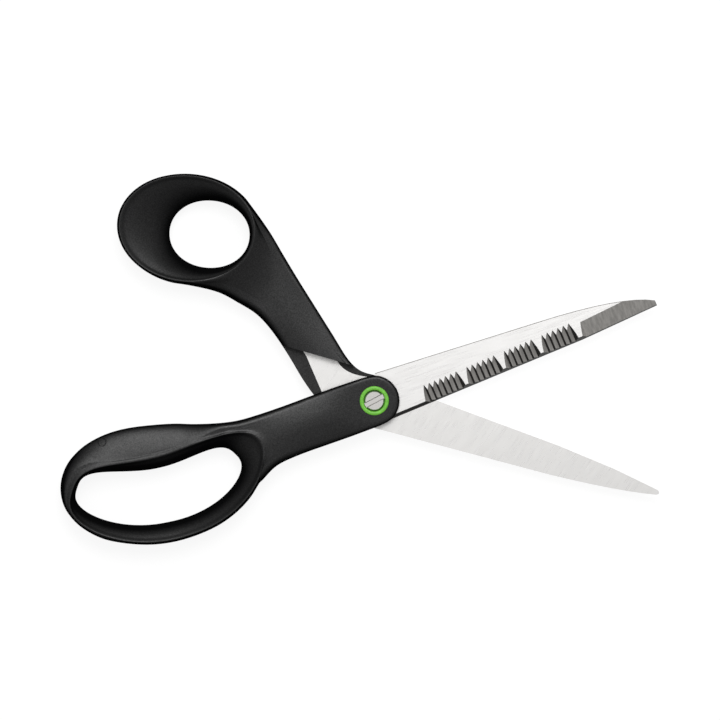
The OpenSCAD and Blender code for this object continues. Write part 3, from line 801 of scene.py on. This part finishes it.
class SHEARS_OT_thumb_handle(bpy.types.Operator):
    """Models the thumb handle with its loop, step, pocket and bore"""
    bl_idname = "shears.thumb_handle"
    bl_label = "Thumb handle"

    def execute(self, context):
        scene = context.scene
        sizes, loop = scene.shears_handle, scene.shears_thumb
        mid = middle_height()
        hole, rim, stations = thumb_loop(sizes, loop)
        side = Vector((math.sin(sizes.thumb_turn), -math.cos(sizes.thumb_turn)))

        def across_arm(p):
            return abs(p.dot(side) / (sizes.thumb_arm / MM / 2) + 1)

        rows = handle_rows(sizes, hole, rim, THUMB_RIM, loop.lip, across_arm,
                           smooth_stations(stations, STATION_STEPS), loop.tilt / MM, mid)
        piece = loop_piece("thumb_grip", rows, -sizes.opening)
        # clears the way of the finger arm, up to the step that it closes against
        front = (sizes.finger_arm / 2 + sizes.step_gap) / MM + 0.2
        cut(piece, block((-70, -80, mid - sizes.relief / MM), (50, front, 50),
                         math.radians(2) - sizes.opening))
        cut(piece, steel_core("rear_blade"))
        cut(piece, bore(sizes.nut_bore))
        finish_piece(piece)
        put_on(piece, plastic_material("black moulded plastic, thumb", scene.shears_finish.plastic,
                                       *HANDLE_FINISH))
        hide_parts("thumb_handle")
        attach(piece, THUMB_BODY)
        return {"FINISHED"}


class SHEARS_OT_blades(bpy.types.Operator):
    """Gives both blades their ground and satin steel"""
    bl_idname = "shears.blades"
    bl_label = "Blades"

    def execute(self, context):
        finishes = context.scene.shears_finish
        outer_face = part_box("front_blade")[1].z
        put_on(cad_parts["front_blade"],
               blade_material("satin steel, front", finishes.front_steel, *FRONT_LINES, finishes,
                              outer_face - 0.02 * MM))
        put_on(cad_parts["rear_blade"],
               blade_material("satin steel, rear", finishes.rear_steel, *REAR_LINES, finishes, None))
        return {"FINISHED"}


class SHEARS_OT_pivot(bpy.types.Operator):
    """Gives the screw, nut, washer and collar their finishes"""
    bl_idname = "shears.pivot"
    bl_label = "Pivot"

    def execute(self, context):
        finishes = context.scene.shears_finish
        steel = turned_material("turned steel", finishes.pivot_steel, 0.34)
        for node in ("pivot_screw", "pivot_nut"):
            put_on(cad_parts[node], steel)
        put_on(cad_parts["spring_washer"],
               turned_material("spring steel", finishes.spring_steel, 0.4))
        put_on(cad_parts["pivot_collar"],
               plastic_material("green plastic", finishes.collar, *COLLAR_FINISH))
        return {"FINISHED"}


class SHEARS_OT_stage(bpy.types.Operator):
    """Sets the floor, the light and the camera"""
    bl_idname = "shears.stage"
    bl_label = "Stage"

    def execute(self, context):
        scene = context.scene
        studio = scene.shears_studio
        self.floor(studio)
        self.world(scene, studio)
        self.key_light(studio)
        self.camera(scene, studio)
        scene.view_settings.view_transform = "Standard"
        return {"FINISHED"}

    def floor(self, studio):
        deselect()
        bpy.ops.mesh.primitive_plane_add(size=studio.floor_size, location=(0, 0, -studio.floor_gap))
        floor = settle("floor")
        constants = {"Roughness": 0.9, "Specular IOR Level": 0.0}
        material, tree, shader, coords = new_material("pale floor", **constants)
        grain = add_node(tree, "ShaderNodeTexNoise", {"Vector": coords.outputs["Object"], "Scale": 3.0})
        pale = blend_colour(tree, remap(tree, grain.outputs[0], 0.3, 0.7, 0, 0.2),
                            rgba(studio.floor), rgba(studio.floor, 0.98))
        tree.links.new(pale, shader.inputs["Base Color"])
        light = add_node(tree, "ShaderNodeLightPath")
        seen = math_node(tree, "MAXIMUM", light.outputs["Is Camera Ray"],
                         math_node(tree, "MAXIMUM", light.outputs["Is Glossy Ray"],
                                   light.outputs["Is Transmission Ray"]))
        glow = math_node(tree, "MULTIPLY", seen, studio.glow)
        white = add_node(tree, "ShaderNodeEmission", {"Color": (1, 1, 1, 1), "Strength": glow})
        both = add_node(tree, "ShaderNodeAddShader", {0: shader.outputs[0], 1: white.outputs[0]})
        output = next(n for n in tree.nodes if n.bl_idname == "ShaderNodeOutputMaterial")
        tree.links.new(both.outputs[0], output.inputs["Surface"])
        put_on(floor, material)

    def world(self, scene, studio):
        """A dim room that is bright overhead and falls off towards the picture's lower edge."""
        world = bpy.data.worlds.new("soft room")
        world.use_nodes = True
        tree = world.node_tree
        tree.nodes.clear()
        direction = add_node(tree, "ShaderNodeTexCoord").outputs["Generated"]
        height = add_node(tree, "ShaderNodeSeparateXYZ", {0: direction}).outputs[2]
        above = math_node(tree, "POWER", math_node(tree, "MAXIMUM", height, 0.0), studio.room_fall)
        towards = add_node(tree, "ShaderNodeVectorMath", {0: direction, 1: studio.up},
                           operation="DOT_PRODUCT").outputs["Value"]
        slant = math_node(tree, "POWER", studio.room_slant, towards)
        light = math_node(tree, "MULTIPLY_ADD", above, studio.room_top, studio.room_side)
        strength = math_node(tree, "MULTIPLY", light, slant)
        back = add_node(tree, "ShaderNodeBackground", {"Color": (1, 1, 1, 1), "Strength": strength})
        add_node(tree, "ShaderNodeOutputWorld", {"Surface": back.outputs[0]})
        scene.world = world

    def key_light(self, studio):
        deselect()
        along, over = studio.key_place
        place = Vector(studio.up) * along + Vector((0, 0, over))
        bpy.ops.object.light_add(type="AREA", location=place)
        lamp = bpy.context.object
        lamp.name = "key light"
        lamp.data.size = studio.key_size
        lamp.data.energy = studio.key_watts
        lamp.rotation_euler = (-place).to_track_quat("-Z", "Y").to_euler()
        lamp.visible_camera = False

    def camera(self, scene, studio):
        deselect()
        middle = middle_height() * MM
        bpy.ops.object.camera_add(location=(studio.aim[0], studio.aim[1], middle + studio.distance),
                                  rotation=(0, 0, studio.roll))
        camera = bpy.context.object
        camera.data.sensor_width = 36
        camera.data.lens = camera.data.sensor_width * studio.distance / studio.view_width
        camera.data.clip_end = 100
        scene.camera = camera


class SHEARS_PT_panel(bpy.types.Panel):
    """Lists the steps and the sizes"""
    bl_idname = "SHEARS_PT_panel"
    bl_label = "Pinking shears"
    bl_space_type = "VIEW_3D"
    bl_region_type = "UI"
    bl_category = "Shears"

    def draw(self, context):
        layout = self.layout
        for operator in OPERATORS:
            layout.operator(operator.bl_idname)
        for name in GROUPS:
            box = layout.box()
            group = getattr(context.scene, name)
            for key in group.__annotations__:
                box.prop(group, key)


OPERATORS = (SHEARS_OT_finger_handle, SHEARS_OT_thumb_handle, SHEARS_OT_blades, SHEARS_OT_pivot,
             SHEARS_OT_stage)
GROUPS = {"shears_handle": HandleSizes, "shears_finger": FingerLoop, "shears_thumb": ThumbLoop,
          "shears_finish": Finishes, "shears_studio": Studio}


def register():
    for made in (*GROUPS.values(), *OPERATORS, SHEARS_PT_panel):
        bpy.utils.register_class(made)
    for name, group in GROUPS.items():
        setattr(bpy.types.Scene, name, bpy.props.PointerProperty(type=group))


def unregister():
    for name in GROUPS:
        delattr(bpy.types.Scene, name)
    for made in (SHEARS_PT_panel, *reversed(OPERATORS), *reversed(GROUPS.values())):
        bpy.utils.unregister_class(made)


def main():
    register()
    bpy.ops.shears.finger_handle()
    bpy.ops.shears.thumb_handle()
    bpy.ops.shears.blades()
    bpy.ops.shears.pivot()
    bpy.ops.shears.stage()
    deselect()


if __name__ == "__main__":
    main()
